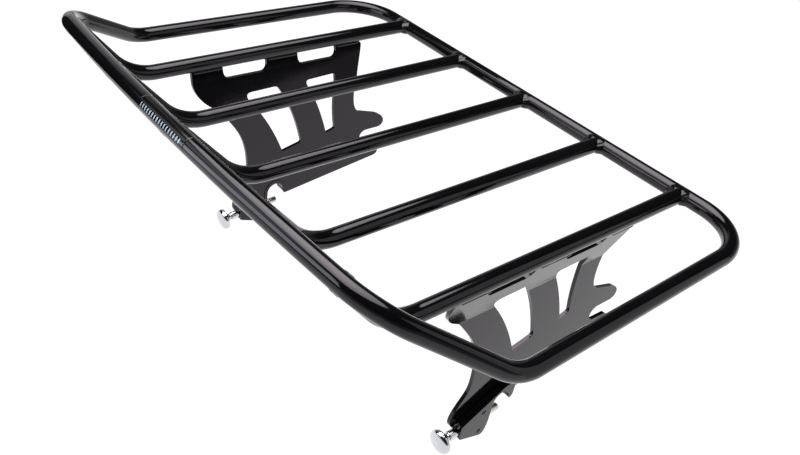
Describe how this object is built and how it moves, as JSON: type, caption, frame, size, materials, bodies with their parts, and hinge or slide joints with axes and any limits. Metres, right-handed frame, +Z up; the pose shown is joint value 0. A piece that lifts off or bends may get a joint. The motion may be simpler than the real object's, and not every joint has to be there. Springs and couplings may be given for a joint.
{
  "type": "luggage rack",
  "caption": "Detachable motorcycle luggage rack: bent tube deck with welded bars on two side plates with docking slots and spring-loaded pull-pin latches.",
  "frame": {"origin": "middle of the rack's bounding box in plan, at the level of its lowest point", "axes": "+X to the machine's right-hand side, along the long rails; +Y to the front of the machine; +Z up, square to the flat part of the deck"},
  "size_m": [0.4864, 0.3534, 0.2382],
  "materials": {
    "tube_paint": "gloss black",
    "plate_paint": "satin-gloss black",
    "chrome": "polished",
    "zinc": "turned and zinc plated",
    "spring_steel": "drawn",
    "film": "printed film, unlettered"
  },
  "bodies": {
    "rack": {"perimeter_tube_front": "tube_paint", "perimeter_tube_rear": "tube_paint", "deck_bar_1": "tube_paint", "deck_bar_2": "tube_paint", "deck_bar_3": "tube_paint", "deck_bar_4": "tube_paint", "deck_bar_5": "tube_paint", "rail_decal": "film", "right_side_plate": "plate_paint", "right_latch_housing": "plate_paint", "right_cross_pin_upper": "spring_steel", "right_cross_pin_lower": "spring_steel", "right_guide_bushing": "chrome", "right_latch_spring": "spring_steel", "left_side_plate": "plate_paint", "left_latch_housing": "plate_paint", "left_cross_pin_upper": "spring_steel", "left_cross_pin_lower": "spring_steel", "left_guide_bushing": "chrome", "left_latch_spring": "spring_steel"},
    "right_latch": {"right_latch_pin": "zinc", "right_pin_collar": "zinc", "right_latch_knob": "chrome"},
    "left_latch": {"left_latch_pin": "zinc", "left_pin_collar": "zinc", "left_latch_knob": "chrome"}
  },
  "joints": [
    {"name": "right_latch_pull", "type": "slide", "parent": "rack", "child": "right_latch", "axis": [0, -0.9962, -0.0872], "range_m": [0, 0.013], "stiffness_N_per_m": 600, "springref_m": -0.004, "deforming": ["right_latch_spring"]},
    {"name": "left_latch_pull", "type": "slide", "parent": "rack", "child": "left_latch", "axis": [0, -0.9962, -0.0872], "range_m": [0, 0.013], "stiffness_N_per_m": 600, "springref_m": -0.004, "deforming": ["left_latch_spring"]}
  ]
}
